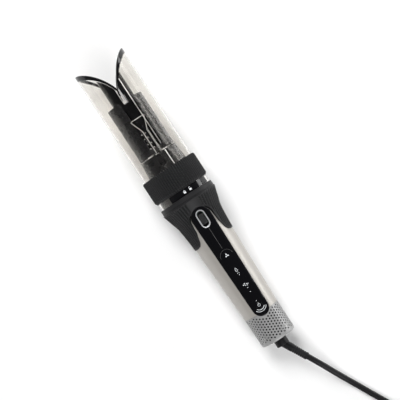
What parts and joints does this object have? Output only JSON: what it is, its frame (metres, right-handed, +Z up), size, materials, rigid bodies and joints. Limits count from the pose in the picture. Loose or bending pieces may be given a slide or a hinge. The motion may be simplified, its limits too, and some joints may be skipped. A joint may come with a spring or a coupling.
{
  "type": "automatic hair curler",
  "caption": "Corded automatic hair curler: tapered handle with touch panel, ribbed lock ring, clear guard tube with a tulip mouth around a rotating barrel, free cord with plug.",
  "frame": {"origin": "on the table under the middle of the tool's length", "axes": "+Y along the tool toward the guard's tips, raised by the resting tilt; +Z up, control panel up"},
  "size_m": [0.143, 0.5568, 0.0676],
  "materials": {
    "champagne": "satin metallic lacquer",
    "black_rubber": "matte ribbed rubber",
    "black_gloss": "piano black gloss",
    "grey_plastic": "satin light grey plastic",
    "dark_plastic": "satin dark plastic",
    "cap_grey": "silver grey lacquer on perforated steel",
    "mesh": "fine woven mesh",
    "smoky_clear": "smoky clear moulded plastic",
    "clear": "clear moulded plastic",
    "barrel_black": "satin heat-proof black",
    "column_black": "gloss black",
    "socket_grey": "moulded grey plastic",
    "board_green": "solder mask",
    "motor_steel": "drawn steel can",
    "steel": "ground steel",
    "bronze": "sintered bronze",
    "brass": "machined brass",
    "nylon": "natural nylon",
    "mica": "mica sheet",
    "heater_wire": "resistance wire",
    "ceramic": "ceramic",
    "led_white": "moulded lens",
    "cord_black": "black PVC cord",
    "pin_nickel": "nickel-plated brass"
  },
  "bodies": {
    "handle": {"handle_sleeve": "champagne", "grip_collar": "black_rubber", "collar_lip": "black_rubber", "control_panel": "black_gloss", "switch_bezel": "grey_plastic", "control_board": "board_green", "board_parts": "dark_plastic", "indicator_leds": "led_white", "chassis_tube": "socket_grey", "intake_frame": "dark_plastic", "intake_filter": "mesh", "fan_motor": "motor_steel", "motor_mount": "dark_plastic", "heater_frame": "mica", "heater_coil": "heater_wire", "thermostat": "ceramic", "thermal_fuse": "ceramic", "guard_socket": "socket_grey", "gearbox_plate": "steel", "plate_screws": "steel", "curl_motor": "motor_steel", "base_cone": "barrel_black", "spindle_bearing": "bronze", "hair_guide": "clear", "cord_lead": "cord_black", "cord_coil": "cord_black", "cord_tail": "cord_black", "coil_tie": "cord_black", "plug_body": "cord_black", "plug_pins": "pin_nickel"},
    "guard": {"guard_tube": "smoky_clear", "lip_trim": "dark_plastic", "lock_mark_band": "black_gloss"},
    "ring": {"lock_ring": "black_rubber", "lock_ring_core": "dark_plastic"},
    "spindle": {"barrel_left": "barrel_black", "barrel_right": "barrel_black", "barrel_end_ring": "barrel_black", "spindle_column": "column_black", "spindle_hub": "dark_plastic", "spindle_gear": "nylon"},
    "pinion": {"drive_pinion": "brass"},
    "fan": {"impeller": "nylon", "fan_shaft": "steel"},
    "direction_switch": {"switch_slider": "dark_plastic"},
    "power_key": {"power_button": "dark_plastic"},
    "cap": {"intake_cap": "cap_grey", "cap_base": "cap_grey"},
    "cord_swivel": {"swivel_body": "dark_plastic", "swivel_clip": "steel", "strain_relief": "cord_black"}
  },
  "joints": [
    {"name": "guard_lift", "type": "slide", "parent": "handle", "child": "guard", "axis": [0, 0.9975, 0.0701], "range_m": [0, 0.14]},
    {"name": "lock_turn", "type": "hinge", "parent": "guard", "child": "ring", "pos_m": [0, 0.04237, 0.03217], "axis": [0, 0.9975, 0.0701], "range_deg": [0, 13.4]},
    {"name": "barrel_spin", "type": "hinge", "parent": "handle", "child": "spindle", "pos_m": [0, 0.05235, 0.03287], "axis": [0, 0.9975, 0.0701], "continuous": true},
    {"name": "pinion_spin", "type": "hinge", "parent": "handle", "child": "pinion", "pos_m": [0, 0.03259, 0.01444], "axis": [0, 0.9975, 0.0701], "continuous": true},
    {"name": "fan_spin", "type": "hinge", "parent": "handle", "child": "fan", "pos_m": [0, -0.10626, 0.02173], "axis": [0, 0.9975, 0.0701], "continuous": true},
    {"name": "switch_slide", "type": "slide", "parent": "handle", "child": "direction_switch", "axis": [0, 0.9762, 0.2168], "range_m": [-0.002, 0.002], "stiffness_N_per_m": 300},
    {"name": "power_press", "type": "slide", "parent": "handle", "child": "power_key", "axis": [0, 0.0701, -0.9975], "range_m": [0, 0.0007], "stiffness_N_per_m": 400},
    {"name": "cap_pull", "type": "slide", "parent": "handle", "child": "cap", "axis": [0, -0.9975, -0.0701], "range_m": [0, 0.009]},
    {"name": "cord_turn", "type": "hinge", "parent": "handle", "child": "cord_swivel", "pos_m": [0, -0.14117, 0.01927], "axis": [0, 0.9975, 0.0701], "continuous": true}
  ],
  "couplings": [
    {"joint": "pinion_spin", "follows": "barrel_spin", "ratio": -2.4}
  ]
}
